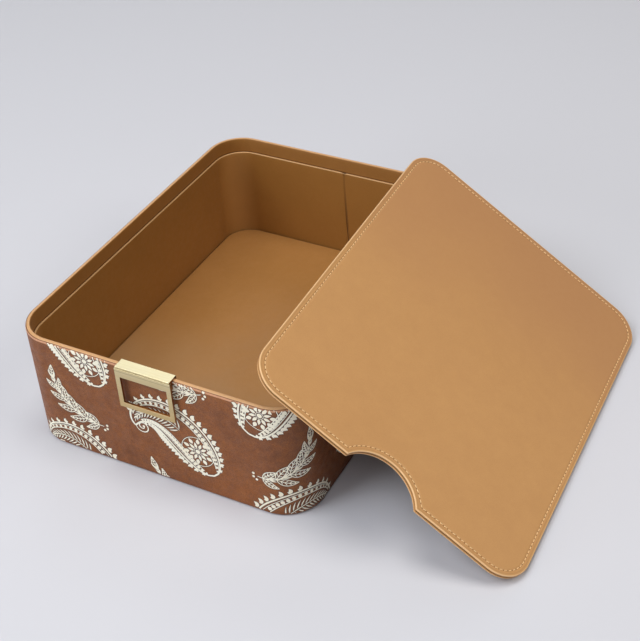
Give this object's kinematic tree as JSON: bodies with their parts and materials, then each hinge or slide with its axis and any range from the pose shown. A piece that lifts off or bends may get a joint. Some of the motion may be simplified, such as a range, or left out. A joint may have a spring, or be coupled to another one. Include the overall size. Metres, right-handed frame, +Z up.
{
  "type": "leather storage box",
  "caption": "Rectangular leather-covered box with rounded corners and a brass clasp frame; its stitched flat lid with a finger notch is taken off and leans on the rim.",
  "frame": {"origin": "centre of the box's underside, on the surface that it stands on", "axes": "+Z up, -Y towards the front wall with the clasp, +X towards the wall that the lid leans on"},
  "size_m": [0.413, 0.3327, 0.1397],
  "materials": {
    "printed_leather": "satin",
    "tan_leather": "satin",
    "suede": "matte",
    "fibreboard": "matte",
    "greyboard": "matte",
    "brass": "satin",
    "thread": "matte"
  },
  "bodies": {
    "box": {"base_cover": "suede", "base_board": "fibreboard", "wall_core": "fibreboard", "outer_wrap": "printed_leather", "rim_lining": "tan_leather", "liner_board": "greyboard", "liner_leather": "tan_leather", "floor_board": "greyboard", "floor_leather": "tan_leather", "clasp_saddle": "brass", "clasp_frame": "brass", "clasp_screw_left": "brass", "clasp_screw_right": "brass"},
    "lid": {"lid_top_leather": "tan_leather", "lid_core": "greyboard", "lid_bottom_leather": "tan_leather", "lid_thread_top": "thread", "lid_thread_bottom": "thread"}
  },
  "joints": [
    {"name": "lid_lift", "type": "slide", "parent": "box", "child": "lid", "axis": [0, 0, 1], "range_m": [0, 0.15]}
  ]
}
